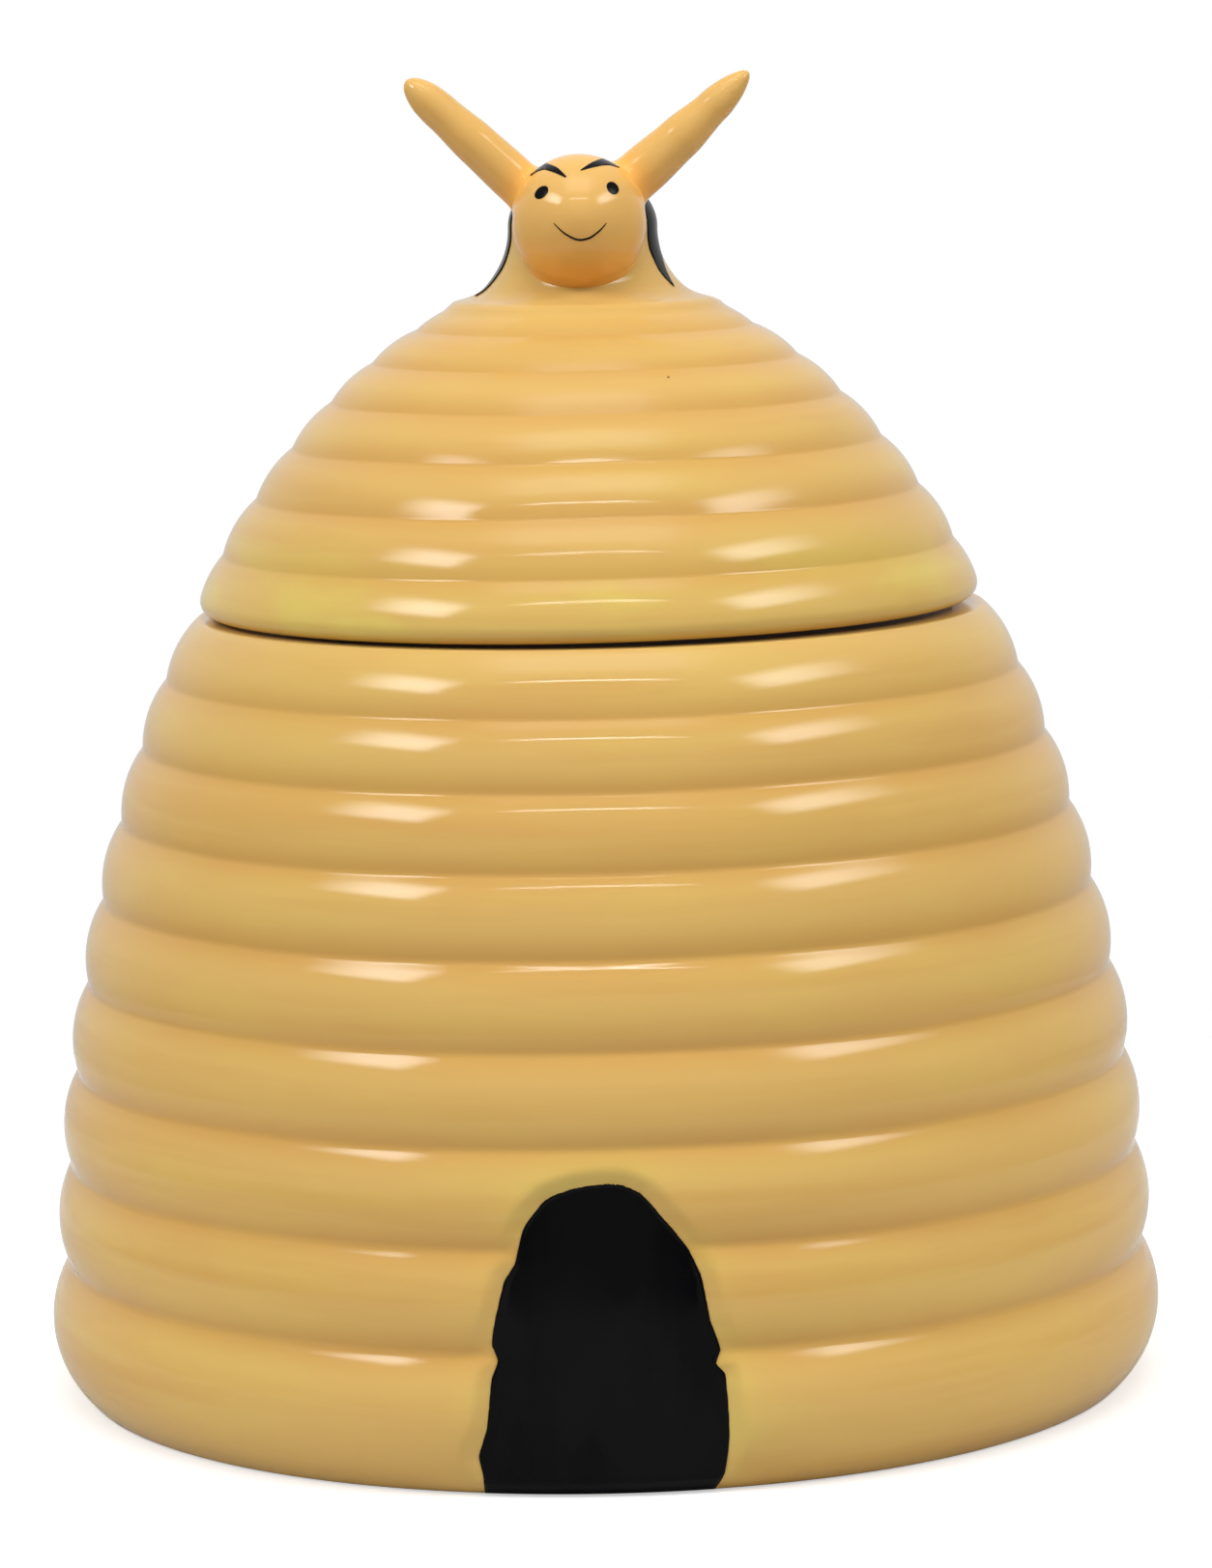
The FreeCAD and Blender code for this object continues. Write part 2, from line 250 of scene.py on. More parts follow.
# Noise in the materials: scale per metre along each axis, detail, the range in use, and roughness
Pattern = namedtuple("Pattern", "scale detail low high roughness", defaults=(0.0, 1.0, 0.5))
GLAZE_STREAKS = Pattern((9, 9, 150), 4.0, 0.42, 0.7, 0.55)
GLAZE_PATCHES = Pattern((26, 26, 80), 3.0, 0.45, 0.66)
INSIDE_RINGS = Pattern((6, 6, 120), 3.0, 0.35, 0.7)
CLAY_GRAIN = Pattern((900, 900, 900), 4.0, 0.35, 0.7, 0.7)
CLAY_WEAR = Pattern((40, 40, 40), 4.0, 0.5, 0.72)
ENAMEL_STROKES = Pattern((60, 60, 26), 4.0, 0.4, 0.66, 0.6)
SILICONE_CLOUD = Pattern((90, 90, 90), 3.0, 0.3, 0.7)
FLOOR_CLOUD = Pattern((3, 3, 3), 2.0, 0.3, 0.7)

# Finishes: noise and range of the roughness, noise of the bumps, their depth in metres and strength, gloss
Finish = namedtuple("Finish", "sheen roughness relief bumps gloss", defaults=(0.5,))
GLAZE_FINISH = Finish(Pattern((60, 60, 60), 3.0, 0.3, 0.7), (0.05, 0.1),
                      Pattern((45, 45, 70), 1.0), (0.0004, 0.1), 0.22)
INSIDE_FINISH = Finish(Pattern((50, 50, 50), 2.0, 0.3, 0.7), (0.08, 0.16),
                       Pattern((60, 60, 160), 3.0), (0.0004, 0.15))
CLAY_FINISH = Finish(CLAY_GRAIN._replace(low=0.3), (0.65, 0.9), CLAY_GRAIN, (0.0002, 0.4))
DOOR_FINISH = Finish(Pattern((110, 110, 60), 3.0, 0.35, 0.7), (0.08, 0.2),
                     Pattern((150, 150, 70), 3.0), (0.0003, 0.12), 0.08)
BEE_ENAMEL_FINISH = DOOR_FINISH._replace(gloss=0.12)
SILICONE_FINISH = Finish(SILICONE_CLOUD, (0.4, 0.55), Pattern((700, 700, 700), 2.0), (0.0001, 0.2))
FLOOR_ROUGHNESS = 0.9
FLOOR_GLOSS = 0.1

# Specks: cells per metre, size within a cell and share of the cells; shares of streaks and of pools with
# painted shade, and of wear
GLAZE_SPECKS = (150.0, 0.05, 0.012)
INSIDE_SPECKS = (120.0, 0.09, 0.05)
HIVE_SHARES = (0.3, 0.4)
BEE_SHARES = (0.08, 0.7)
CLAY_WEAR_SHARE = 0.6

# Sockets of a node that mixes colours
MIX_SHARE, MIX_FIRST, MIX_SECOND, MIX_RESULT = 0, 6, 7, 2

# Floor in metres: a ring that is open under the jar's foot
FLOOR_RADIUS = 0.34
FLOOR_HOLE = 0.086
FLOOR_LEVEL = -0.0001
FLOOR_GLOW = 0.5

# Room that the glaze reflects: its strengths, and where they change along the up and the away direction
ROOM_BELOW = 0.16
ROOM_ABOVE = 0.4
ROOM_BEHIND = 0.45
ROOM_RISE = (-0.25, 0.35)
ROOM_DEPTH = (0.1, 0.8)

# Lights: size in metres, radiance, fade at the two sides, and azimuth, elevation and distance from the aim
AIM = Vector((0.0, 0.0, 0.12))
EVEN_FADE = ((0.0, 0.3), (1.0, 0.7))
LIGHT_UP_FADE = ((0.0, 0.3), (1.0, 0.55))
LIGHTS = {
    "left_softbox": ((0.85, 0.55), 16.5, ((0.0, 0.6), (1.0, 0.8)), (-62, 41, 1.5)),
    "right_softbox": ((1.15, 0.55), 13, ((1.0, 0.3), (0.0, 0.25)), (69, 40, 1.5)),
    "overhead_panel": ((1.35, 0.9), 3.1, EVEN_FADE, (0, 76, 1.4)),
    "panel_edge": ((1.2, 0.04), 36, EVEN_FADE, (0, 52, 1.5)),
}

# Camera, fitted to the photograph
CAMERA_PLACE = (0.001895, -1.0328, 0.23675)
CAMERA_PITCH = 0.1309
CAMERA_ROLL = 0.0217
PHOTO_HEIGHT = 1623
PHOTO_FOCAL = 6386
SENSOR = 36.0


def hive_angle(height):
    return math.asin((height - WIDEST_HEIGHT) / HIVE_RISE)


def hive_radius_at(height):
    return HIVE_RADIUS * np.sqrt(1 - ((height - WIDEST_HEIGHT) / HIVE_RISE) ** 2)


def path_lengths(points):
    return np.concatenate([[0.0], np.cumsum(np.linalg.norm(np.diff(points, axis=0), axis=1))])


def spread_grooves(height, end, count, ratio):
    """Points that split the hive outline into ribs whose pitch falls evenly by a ratio."""
    angles = np.linspace(hive_angle(height), end, OUTLINE_STEPS)
    points = np.column_stack([HIVE_RADIUS * np.cos(angles), WIDEST_HEIGHT + HIVE_RISE * np.sin(angles)])
    lengths = path_lengths(points)
    shares = np.linspace(1, ratio, count)
    targets = lengths[-1] * np.concatenate([[0.0], np.cumsum(shares)]) / shares.sum()
    return np.column_stack([np.interp(targets, lengths, points[:, axis]) for axis in (0, 1)])


def apex_point(first, second, reach):
    """Point at a reach from two points, on the right of the way between them."""
    half = np.linalg.norm(second - first) / 2
    along = (second - first) / (2 * half)
    return (first + second) / 2 + np.array([along[1], -along[0]]) * math.sqrt(reach ** 2 - half ** 2)


def rib_centers(grooves):
    return [apex_point(upper, lower, RIB_RADIUS) for lower, upper in zip(grooves, grooves[1:])]


def arc_points(center, start, end, count):
    """Points on the shorter arc about a centre between two points."""
    first, last = [math.atan2(*(point - center)[::-1]) for point in (start, end)]
    turn = (last - first + math.pi) % (2 * math.pi) - math.pi
    angles = first + turn * np.linspace(0, 1, count)
    return center + np.linalg.norm(start - center) * np.column_stack([np.cos(angles), np.sin(angles)])


def toward(center, point, radius):
    return center + (point - center) * radius / np.linalg.norm(point - center)


def rib_arc(center, start, end, spacing):
    return arc_points(center, start, end, max(LEAST_RIB_STEPS, int(np.linalg.norm(end - start) / spacing)))


def ribbed_outline(grooves, start, end, inset, spacing):
    """Points along the ribs, at an inset from their face, between two ends."""
    centers = rib_centers(grooves)
    pieces = []
    here = start
    for lower, upper in zip(centers, centers[1:]):
        middle = apex_point(lower, upper, RIB_RADIUS + GROOVE_RADIUS)
        below, above = [toward(center, middle, RIB_RADIUS - inset) for center in (lower, upper)]
        pieces.append(rib_arc(lower, here, below, spacing)[:-1])
        pieces.append(arc_points(middle, below, above, GROOVE_STEPS)[:-1])
        here = above
    pieces.append(rib_arc(centers[-1], here, end, spacing))
    return np.vstack(pieces)


def level_round(center, radius, height, size, side):
    """Points of a small round from a level plane to a rib."""
    level = height + side * size
    middle = np.array([center[0] + math.sqrt((radius - size) ** 2 - (level - center[1]) ** 2), level])
    return arc_points(middle, np.array([middle[0], height]), toward(center, middle, radius), GROOVE_STEPS)


def rounded_path(points, size):
    """Straight runs with each inner corner rounded, as points."""
    points = [np.array(point, float) for point in points]
    result = [points[0]]
    for before, corner, after in zip(points, points[1:], points[2:]):
        start = toward(corner, before, size)
        end = toward(corner, after, size)
        for share in np.linspace(0, 1, GROOVE_STEPS):
            result.append((1 - share) ** 2 * start + 2 * share * (1 - share) * corner + share ** 2 * end)
    return np.array(result + [points[-1]])


def smooth_curve(places, at, keys):
    """Points of a smooth curve through key points, with slopes from the neighbours."""
    keys = np.array(keys)
    slope = np.gradient(keys, at, axis=0)
    left = np.clip(np.searchsorted(at, places, side="right") - 1, 0, len(at) - 2)
    span = (at[left + 1] - at[left])[:, None]
    share = (places - at[left])[:, None] / span
    rise = keys[left + 1] - keys[left]
    curve = keys[left] + rise * share ** 2 * (3 - 2 * share)
    bend = slope[left] * (1 - share) - slope[left + 1] * share - rise / span * (1 - 2 * share)
    return curve + span * share * (1 - share) * bend


def smooth_step(low, high, value):
    share = np.clip((value - low) / (high - low), 0, 1)
    return share ** 2 * (3 - 2 * share)


def waves(turn, height, seed):
    """Slow uneven waves round and up the hive, between -1 and 1."""
    draw = np.random.RandomState(seed)
    total = 0.0
    for _ in range(WAVE_COUNT):
        turns = draw.randint(*WAVE_TURNS)
        length = draw.uniform(*WAVE_LENGTHS)
        phases = draw.uniform(0, 2 * math.pi, 2)
        total = total + np.cos(turns * turn + phases[0]) * np.cos(2 * math.pi * height / length + phases[1])
    return total / WAVE_COUNT


def grid_faces(rows, columns, closed, first=0):
    """Quads of a grid of points, joined round where it is closed."""
    index = first + np.arange(rows * columns).reshape(rows, columns)
    if closed:
        index = np.column_stack([index, index[:, 0]])
    corners = (index[:-1, :-1], index[:-1, 1:], index[1:, 1:], index[1:, :-1])
    return np.stack(corners, axis=-1).reshape(-1, 4).tolist()


def add_object(name, data):
    thing = bpy.data.objects.new(name, data)
    bpy.context.scene.collection.objects.link(thing)
    return thing


def make_piece(name, points, faces, materials, slots=None, merge=0.0, **shades):
    """Smooth mesh from points in millimetres, with shades as attributes of the points."""
    mesh = bpy.data.meshes.new(name)
    mesh.from_pydata((np.asarray(points) * MM).tolist(), [], faces)
    for material in materials:
        mesh.materials.append(material)
    if slots is not None:
        mesh.polygons.foreach_set("material_index", np.asarray(slots, np.int32))
    for shade, values in shades.items():
        layer = mesh.attributes.new(shade, "FLOAT", "POINT")
        layer.data.foreach_set("value", np.asarray(values, np.float32))
    shell = bmesh.new()
    shell.from_mesh(mesh)
    if merge:
        bmesh.ops.remove_doubles(shell, verts=shell.verts, dist=merge * MM)
    bmesh.ops.recalc_face_normals(shell, faces=shell.faces)
    shell.to_mesh(mesh)
    shell.free()
    mesh.shade_smooth()
    return add_object(name, mesh)


def capped_grid(grid, start, end):
    """Points and faces of a grid that goes round, closed by a point at each end."""
    rows, columns = grid.shape[:2]
    points = np.vstack([grid.reshape(-1, 3), [start], [end]])
    faces = grid_faces(rows, columns, True)
    last = (rows - 1) * columns
    for column in range(columns):
        after = (column + 1) % columns
        faces.append([rows * columns, after, column])
        faces.append([rows * columns + 1, last + column, last + after])
    return points, faces


def unit(vectors):
    return vectors / np.maximum(np.linalg.norm(vectors, axis=-1, keepdims=True), SMALL)


def outward_normals(grid, ways, closed=False):
    """Unit normals of a grid on the side of given ways; a closed grid goes round."""
    wrapped = np.concatenate([grid[:, -1:], grid, grid[:, :1]], axis=1)
    across = np.gradient(wrapped, axis=1)[:, 1:-1] if closed else np.gradient(grid, axis=1)
    normals = unit(np.cross(across, np.gradient(grid, axis=0)))
    return normals * np.sign(np.sum(normals * ways, axis=-1, keepdims=True))


def paint_shell(grid, outward, lift=PAINT_LIFT, sink=PAINT_SINK):
    """Thin closed skin on a grid of surface points, as points and faces."""
    rows, columns = grid.shape[:2]
    top = (grid + outward * lift).reshape(-1, 3)
    bottom = (grid - outward * sink).reshape(-1, 3)
    faces = grid_faces(rows, columns, False)
    count = rows * columns
    faces += [[count + corner for corner in reversed(face)] for face in faces]
    index = np.arange(count).reshape(rows, columns)
    rim = np.concatenate([index[0], index[1:, -1], index[-1, -2::-1], index[-2:0:-1, 0]])
    after = np.roll(rim, -1)
    faces += np.stack([after, rim, rim + count, after + count], axis=-1).tolist()
    return np.vstack([top, bottom]), faces


def join_shells(shells):
    points = []
    faces = []
    for shell_points, shell_faces in shells:
        start = sum(len(group) for group in points)
        points.append(shell_points)
        faces += [[start + corner for corner in face] for face in shell_faces]
    return np.vstack(points), faces


def round_turns(count):
    return np.linspace(0, 2 * math.pi, count, endpoint=False)


def revolve(outline, turns):
    """Radius and height grids of an outline repeated at each turn."""
    return [np.repeat(outline[:, axis:axis + 1], len(turns), axis=1) for axis in (0, 1)]


def turned_grid(radius, height, turns):
    """Points at radii, heights and turns about the hive's axis, with no turn at the front."""
    return np.stack([radius * np.sin(turns), -radius * np.cos(turns), height], axis=-1)


def near_shade(gap, reach=POOL_AND_SHADE_REACH):
    """1 at a crease or edge, falling to 0 away from it."""
    return np.exp(-(gap / reach) ** 2)


def groove_shade(outline, grooves):
    return near_shade(np.linalg.norm(outline[:, None] - grooves[None], axis=2).min(axis=1))


def wall_dip(turns, height, seed):
    """How far the wall lies inside its outline, in slow waves."""
    return WALL_WAVE * (1 + waves(turns, height, seed))


def wander(turns, height, seed, low, high):
    """How far the grooves wander up, fading out at the two ends of the wall."""
    fade = smooth_step(low, low + RIB_RADIUS, height) * smooth_step(high, high - RIB_RADIUS, height)
    return GROOVE_WANDER * fade * waves(turns, height / WANDER_STRETCH, seed)


# Grooves of the pot and the lid, as (radius, height)
RIM_RADIUS = hive_radius_at(RIM_HEIGHT) - RIM_INSET
MOUTH_RADIUS = RIM_RADIUS - RIM_WIDTH
POT_GROOVES = spread_grooves(FIRST_GROOVE_HEIGHT, hive_angle(RIM_HEIGHT), POT_RIB_COUNT, POT_RIB_RATIO)
POT_GROOVES = np.vstack([[HIVE_RADIUS - FOOT_INSET, 0.0], POT_GROOVES[:-1], [RIM_RADIUS, RIM_HEIGHT]])
LID_GROOVES = spread_grooves(LID_HEIGHT, math.acos(SEAT_RADIUS / HIVE_RADIUS), LID_RIB_COUNT, LID_RIB_RATIO)
LID_GROOVES[0] = (LID_GROOVES[0][0] - LID_EDGE_INSET, LID_HEIGHT)
SEAT_HEIGHT = LID_GROOVES[-1][1]


def door_edges():
    """Points spread evenly along the door's left and right edge."""
    edges = []
    for keys in (DOOR_LEFT, DOOR_RIGHT):
        at = path_lengths(np.array(keys))
        edges.append(smooth_curve(np.linspace(0, at[-1], DOOR_ROWS), at, keys))
    return edges


def door_depth_inside(across, height):
    """Distance from the door's edge, positive inside the door."""
    left, right = door_edges()
    gaps = [np.hypot(across - x, height - z) for x, z in np.vstack([left, right])]
    sides = [np.interp(height, edge[:, 1], edge[:, 0]) for edge in (left, right)]
    inside = (across > sides[0]) & (across < sides[1]) & (height < DOOR_LEFT[-1][1])
    return np.where(inside, 1, -1) * np.min(gaps, axis=0)


def sink_door(radius, height, turns):
    """Wall whose ribs roll down into the smooth face of the door."""
    across = radius * np.sin(turns)
    front = (np.abs(turns) < DOOR_HALF_ANGLE) & (height < DOOR_LEFT[-1][1] + RIB_RADIUS)
    depth = np.full(radius.shape, -DOOR_ROLL_OUT)
    depth[front] = door_depth_inside(across[front], height[front])
    share = smooth_step(-DOOR_ROLL_OUT, DOOR_ROLL_IN, depth)
    face = hive_radius_at(height) - DOOR_DEPTH
    return np.where(radius > face, radius + (face - radius) * share, radius)


def door_halo(grid):
    """Shade of the green tint round the door's edge."""
    near = (np.abs(grid[..., 0]) < HIVE_RADIUS / 2) & (grid[..., 1] < 0) & (grid[..., 2] < RIM_HEIGHT / 2)
    gap = np.full(grid.shape[:2], HIVE_RADIUS)
    gap[near] = door_depth_inside(grid[near][:, 0], grid[near][:, 2])
    return near_shade(gap, GREEN_REACH)


def pot_outlines():
    """Runs of the pot's section: under the foot, foot ring, outside, rim and inside."""
    centers = rib_centers(POT_GROOVES)
    foot = level_round(centers[0], RIB_RADIUS, 0.0, FOOT_ROUND, 1)
    rim = level_round(centers[-1], RIB_RADIUS, RIM_HEIGHT, RIM_ROUND, -1)
    floor = level_round(centers[0], RIB_RADIUS - POT_WALL, FLOOR_HEIGHT, FLOOR_ROUND, 1)
    shoulder = toward(centers[-2], (POT_GROOVES[-3] + POT_GROOVES[-2]) / 2, RIB_RADIUS - POT_WALL)
    ring = foot[0][0] - FOOT_RING_WIDTH
    recess = ring - FOOT_RECESS
    under = np.array([(AXIS_GAP, FOOT_RECESS), (ring / 2, FOOT_RECESS), (recess - FOOT_RECESS, FOOT_RECESS)])
    ring_run = rounded_path([under[-1], (recess, FOOT_RECESS), (ring, 0.0), foot[0]], CORNER_ROUND)
    ribs = ribbed_outline(POT_GROOVES, foot[-1], rim[-1], 0.0, FINE_SPACING)
    outside = np.vstack([foot, ribs[1:], rim[::-1][1:]])
    mouth_middle = (MOUTH_RADIUS, RIM_HEIGHT - MOUTH_DEPTH / 2)
    rim_run = rounded_path([rim[0], (MOUTH_RADIUS, RIM_HEIGHT), mouth_middle], MOUTH_ROUND)
    mouth = rounded_path([rim_run[-1], (MOUTH_RADIUS, RIM_HEIGHT - MOUTH_DEPTH), shoulder], MOUTH_ROUND)
    wall = ribbed_outline(POT_GROOVES[:-1], floor[-1], shoulder, POT_WALL, PLAIN_SPACING)[::-1]
    bottom = np.array([floor[0] / 2 + [0, FLOOR_HEIGHT / 2], (AXIS_GAP, FLOOR_HEIGHT)])
    inside = np.vstack([mouth[1:], wall[1:], floor[::-1][1:], bottom])
    return under, ring_run[1:], outside[1:], rim_run[1:], inside


def pot_turns():
    """Columns round the pot, close together at the door."""
    near = np.arange(-DOOR_HALF_ANGLE, DOOR_HALF_ANGLE, DOOR_COLUMN_STEP)
    far = np.linspace(DOOR_HALF_ANGLE, 2 * math.pi - DOOR_HALF_ANGLE, PLAIN_COLUMNS)
    return np.concatenate([near, far[:-1]])


def make_pot(outer, inner, bare):
    runs = pot_outlines()
    outline = np.vstack(runs)
    turns = pot_turns()
    radius, height = revolve(outline, turns)
    kind = np.concatenate([np.full(len(run), number) for number, run in enumerate(runs)])
    wall = kind == OUTSIDE_RUN
    radius[wall] -= wall_dip(turns, height[wall], POT_SEED)
    height[wall] += wander(turns, height[wall], POT_SEED + 1, 0.0, RIM_HEIGHT)
    radius[wall] = sink_door(radius[wall], height[wall], turns)
    grid = turned_grid(radius, height, turns)
    points, faces = capped_grid(grid, (0, 0, FOOT_RECESS), (0, 0, FLOOR_HEIGHT))
    row_slots = np.array(POT_RUN_SLOTS)[kind[1:]]
    slots = np.concatenate([np.repeat(row_slots, len(turns)), np.tile(POT_CAP_SLOTS, len(turns))])
    # Deeper glaze in the grooves: glaze pooling and painted shade
    pool = np.append(np.repeat(groove_shade(outline, POT_GROOVES[1:-1]), len(turns)), [0, 0])
    green = np.append(GREEN_SHARE + (GREEN_DOOR - GREEN_SHARE) * door_halo(grid).ravel(), [0, 0])
    return make_piece("pot_ceramic", points, faces, [outer, inner, bare], slots, pool=pool, green=green)


def pot_wall_radius(turn, height):
    """Radius of the pot's uneven outside at given turns and heights, door included."""
    outline = pot_outlines()[OUTSIDE_RUN]
    level = height - wander(turn, height, POT_SEED + 1, 0.0, RIM_HEIGHT)
    radius = np.interp(level, outline[:, 1], outline[:, 0]) - wall_dip(turn, level, POT_SEED)
    return sink_door(radius, height, turn)


def door_points():
    """Grid on the door's face from its left to its right edge."""
    left, right = door_edges()
    shares = np.linspace(0, 1, DOOR_COLUMNS)[:, None]
    sheet = left[:, None] + (right - left)[:, None] * shares
    across, height = sheet[..., 0], sheet[..., 1]
    turn = across / HIVE_RADIUS
    for _ in range(SURFACE_ROUNDS):
        radius = pot_wall_radius(turn, height)
        turn = np.arcsin(across / radius)
    return turned_grid(radius, height, turn)


def make_door(enamel):
    grid = door_points()
    outward = outward_normals(grid, (0, -1, 0))
    return make_piece("door_black", *paint_shell(grid, outward, DOOR_LIFT, DOOR_SINK), [enamel])


def lid_outlines():
    """Runs of the lid's section: outside from the seat down, and underside."""
    centers = rib_centers(LID_GROOVES)
    edge = level_round(centers[0], RIB_RADIUS, LID_HEIGHT, LID_EDGE_ROUND, 1)
    ribs = ribbed_outline(LID_GROOVES, edge[-1], LID_GROOVES[-1], 0.0, PLAIN_SPACING)
    outside = np.vstack([edge, ribs[1:]])[::-1]
    spigot = MOUTH_RADIUS - SPIGOT_SPACE
    bottom = LID_HEIGHT - SPIGOT_DEPTH
    bore = spigot - SPIGOT_WALL
    lip = spigot + SPIGOT_LIP_WIDTH
    lip_top = bottom + SPIGOT_LIP_HEIGHT
    hollow_top = toward(centers[-1], LID_GROOVES[-1], RIB_RADIUS - LID_WALL)
    hollow_foot = toward(centers[1], (LID_GROOVES[1] + LID_GROOVES[2]) / 2, RIB_RADIUS - LID_WALL)
    under = [edge[0], (spigot, LID_HEIGHT), (spigot, lip_top), (lip, lip_top), (lip, bottom), (bore, bottom),
             (bore, LID_HEIGHT + FLANGE_THICKNESS), hollow_foot]
    hollow = ribbed_outline(LID_GROOVES[1:], hollow_foot, hollow_top, LID_WALL, PLAIN_SPACING)
    crown = np.array([(hollow_top[0] / 2, hollow_top[1]), (AXIS_GAP, hollow_top[1])])
    return outside, np.vstack([rounded_path(under, CORNER_ROUND / 2)[1:], hollow[1:], crown])


# Outside of the lid as seen from its centre: angles above level and distances
LID_OUTSIDE, LID_UNDER = lid_outlines()
DOME_RISES = np.arctan2(LID_OUTSIDE[:, 1] - LID_CENTER[2], LID_OUTSIDE[:, 0])
DOME_REACHES = np.hypot(LID_OUTSIDE[:, 0], LID_OUTSIDE[:, 1] - LID_CENTER[2])


def reach_along(inside, shape, limit):
    """Distances where a test of distances goes from inside to outside, by halving the range."""
    low = np.zeros(shape)
    high = np.full(shape, limit)
    for _ in range(BISECTIONS):
        middle = (low + high) / 2
        kept = inside(middle[..., None])
        low = np.where(kept, middle, low)
        high = np.where(kept, high, middle)
    return low


def body_radius(height):
    """Radius of the bee's body at a height, with a rounded top, neck and flared foot."""
    neck = SEAT_HEIGHT + NECK_RISE
    above = np.clip((height - neck) / (BODY_RISE - NECK_RISE), 0, 1)
    below = np.clip(neck - height, 0, FLARE_RADIUS * math.sin(math.acos(1 - FLARE_REACH / FLARE_RADIUS)))
    top = NECK_RADIUS * np.sqrt(1 - above ** 2)
    foot = NECK_RADIUS + FLARE_RADIUS - np.sqrt(FLARE_RADIUS ** 2 - below ** 2)
    return np.where(height > neck, top, foot)


def body_gap(points):
    """How far points lie outside the bee's body, level with the hive's axis."""
    x = points[..., 0] * math.cos(BEE_TURN) - points[..., 1] * math.sin(BEE_TURN)
    y = points[..., 0] * math.sin(BEE_TURN) + points[..., 1] * math.cos(BEE_TURN)
    fall = TAIL_SLOPE * (np.sqrt(y ** 2 + TAIL_BEND ** 2) + y - TAIL_BEND) / 2
    height = points[..., 2] + fall * (y > 0)
    return np.hypot(x, np.where(y > 0, y / TAIL_STRETCH, y)) - body_radius(height)


def body_reach(directions):
    """Distance from the lid's centre to the outside of the bee's body along each direction."""
    def inside(away):
        return body_gap(LID_CENTER + directions * away) < 0
    return reach_along(inside, directions.shape[:-1], HIVE_RADIUS)


def dome_reach(rise):
    """Distance from the lid's centre to the ribbed dome at an angle above level, flat over the seat."""
    seat = (SEAT_HEIGHT - LID_CENTER[2]) / np.maximum(np.sin(rise), np.sin(DOME_RISES[0]))
    return np.where(rise > DOME_RISES[0], seat, np.interp(rise, DOME_RISES[::-1], DOME_REACHES[::-1]))


def fillet(gap, size):
    """How far a surface swells near another one at a gap, to round the crease between them."""
    return size / 4 * np.clip(1 - np.abs(gap) / size, 0, 1) ** 2


def lid_reach(directions):
    """Distance from the lid's centre to its outside along directions, with the dome blended into the bee."""
    dome = dome_reach(np.arcsin(np.clip(directions[..., 2], -1, 1)))
    body = body_reach(directions)
    return np.maximum(dome, body) + fillet(dome - body, BODY_BLEND)


def head_gap(points):
    return np.linalg.norm(points - HEAD_CENTER, axis=-1) - HEAD_RADIUS


def lid_outer_grid(turns):
    """Outside of the lid with the bee's body, from the top down, and the glaze pool with painted shade in its
    grooves.
    """
    crown = np.linspace(CROWN_START, DOME_RISES[0], CROWN_STEPS)[:-1]
    rise = np.repeat(np.concatenate([crown, DOME_RISES])[:, None], len(turns), axis=1)
    directions = turned_grid(np.cos(rise), np.sin(rise), turns)
    grid = LID_CENTER + directions * lid_reach(directions)[..., None]
    grid = grid - directions * wall_dip(turns, grid[..., 2], LID_SEED)[..., None]
    grid[..., 2] += wander(turns, grid[..., 2], LID_SEED + 1, LID_HEIGHT, SEAT_HEIGHT)
    outward = outward_normals(grid, directions, closed=True)
    grid = grid + outward * fillet(head_gap(grid), NECK_FILLET)[..., None]
    # Deeper glaze in the lid's grooves: glaze pooling and painted shade
    pool = np.concatenate([np.zeros(len(crown)), groove_shade(LID_OUTSIDE, LID_GROOVES[1:])])
    return grid, np.repeat(pool[:, None], len(turns), axis=1) * (body_gap(grid) > NECK_FILLET)


def settle(grid):
    """The lid as it was put down: a little to the left and higher on its right."""
    share = np.clip((LID_TILT_TOP - grid[..., 2]) / (LID_TILT_TOP - LID_HEIGHT), 0, 1)
    moved = grid.copy()
    moved[..., 0] += LID_SHIFT * share
    moved[..., 2] += (LID_DROP + LID_TILT * grid[..., 0]) * share
    return moved


def make_lid(outer, inner):
    turns = round_turns(LID_COLUMNS)
    outside, pool = lid_outer_grid(turns)
    inside = turned_grid(*revolve(LID_UNDER, turns), turns)
    grid = settle(np.concatenate([outside, inside]))
    top = [grid[0, :, 0].mean(), grid[0, :, 1].mean(), grid[0, :, 2].max()]
    points, faces = capped_grid(grid, top, (0, 0, LID_UNDER[-1][1]))
    row_slots = np.concatenate([np.zeros(len(outside) - 1), np.ones(len(LID_UNDER))])
    slots = np.concatenate([np.repeat(row_slots, LID_COLUMNS), np.tile(LID_CAP_SLOTS, LID_COLUMNS)])
    pool = np.concatenate([pool.ravel(), np.zeros(len(LID_UNDER) * LID_COLUMNS + 2)])
    edge = smooth_step(LID_GROOVES[1][1] + GREEN_REACH, LID_GROOVES[1][1], points[:, 2])
    green = GREEN_SHARE + (GREEN_LID_EDGE - GREEN_SHARE) * edge
    return make_piece("lid_ceramic", points, faces, [outer, inner], slots, pool=pool, green=green)


def lid_hits(origins, directions):
    """Points where rays from inside the bee meet the lid's outside."""
    def inside(away):
        ray = origins + directions * away - LID_CENTER
        reach = np.linalg.norm(ray, axis=-1)
        return reach < lid_reach(ray / reach[..., None])
    return origins + directions * reach_along(inside, directions.shape[:-1], HIVE_RADIUS / 2)[..., None]


